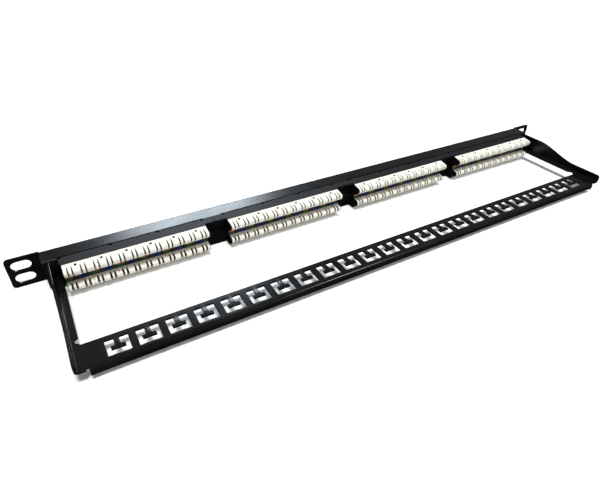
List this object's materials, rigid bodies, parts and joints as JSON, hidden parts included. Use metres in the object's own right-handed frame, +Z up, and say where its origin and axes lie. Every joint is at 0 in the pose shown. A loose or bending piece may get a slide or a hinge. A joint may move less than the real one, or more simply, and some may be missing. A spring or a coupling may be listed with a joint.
{
  "type": "patch panel",
  "caption": "Half-height rack patch panel with modular sockets in front, punch-down rows behind and a rear cable-tie bar on two side arms.",
  "frame": {"origin": "middle of the panel's length and of the whole depth, on the plane of the lower edge", "axes": "+X along the rack width, -Y out of the socket face, +Y towards the tie bar, +Z up"},
  "size_m": [0.4826, 0.1008, 0.022],
  "materials": {
    "panel_steel": "satin black powder coat",
    "bar_steel": "satin black powder coat",
    "black_plastic": "moulded, fine matt texture",
    "ivory_plastic": "moulded, satin",
    "board_laminate": "solder-mask gloss",
    "label_film": "printed film with colour blocks",
    "contact_gold": "gold plated",
    "screw_steel": "black zinc"
  },
  "bodies": {
    "root": {"front_panel": "panel_steel", "jack_housing_1": "black_plastic", "circuit_board_1": "board_laminate", "rear_housing_1": "black_plastic", "punch_row_upper_1": "ivory_plastic", "punch_row_lower_1": "ivory_plastic", "wiring_label_1": "label_film", "jack_housing_2": "black_plastic", "circuit_board_2": "board_laminate", "rear_housing_2": "black_plastic", "punch_row_upper_2": "ivory_plastic", "punch_row_lower_2": "ivory_plastic", "wiring_label_2": "label_film", "jack_housing_3": "black_plastic", "circuit_board_3": "board_laminate", "rear_housing_3": "black_plastic", "punch_row_upper_3": "ivory_plastic", "punch_row_lower_3": "ivory_plastic", "wiring_label_3": "label_film", "jack_housing_4": "black_plastic", "circuit_board_4": "board_laminate", "rear_housing_4": "black_plastic", "punch_row_upper_4": "ivory_plastic", "punch_row_lower_4": "ivory_plastic", "wiring_label_4": "label_film", "contact_set_01": "contact_gold", "contact_set_02": "contact_gold", "contact_set_03": "contact_gold", "contact_set_04": "contact_gold", "contact_set_05": "contact_gold", "contact_set_06": "contact_gold", "contact_set_07": "contact_gold", "contact_set_08": "contact_gold", "contact_set_09": "contact_gold", "contact_set_10": "contact_gold", "contact_set_11": "contact_gold", "contact_set_12": "contact_gold", "contact_set_13": "contact_gold", "contact_set_14": "contact_gold", "contact_set_15": "contact_gold", "contact_set_16": "contact_gold", "contact_set_17": "contact_gold", "contact_set_18": "contact_gold", "contact_set_19": "contact_gold", "contact_set_20": "contact_gold", "contact_set_21": "contact_gold", "contact_set_22": "contact_gold", "contact_set_23": "contact_gold", "contact_set_24": "contact_gold", "end_cap_left": "black_plastic", "end_cap_right": "black_plastic", "bar_screw_left": "screw_steel", "bar_screw_right": "screw_steel", "cable_bar": "bar_steel"}
  },
  "joints": []
}
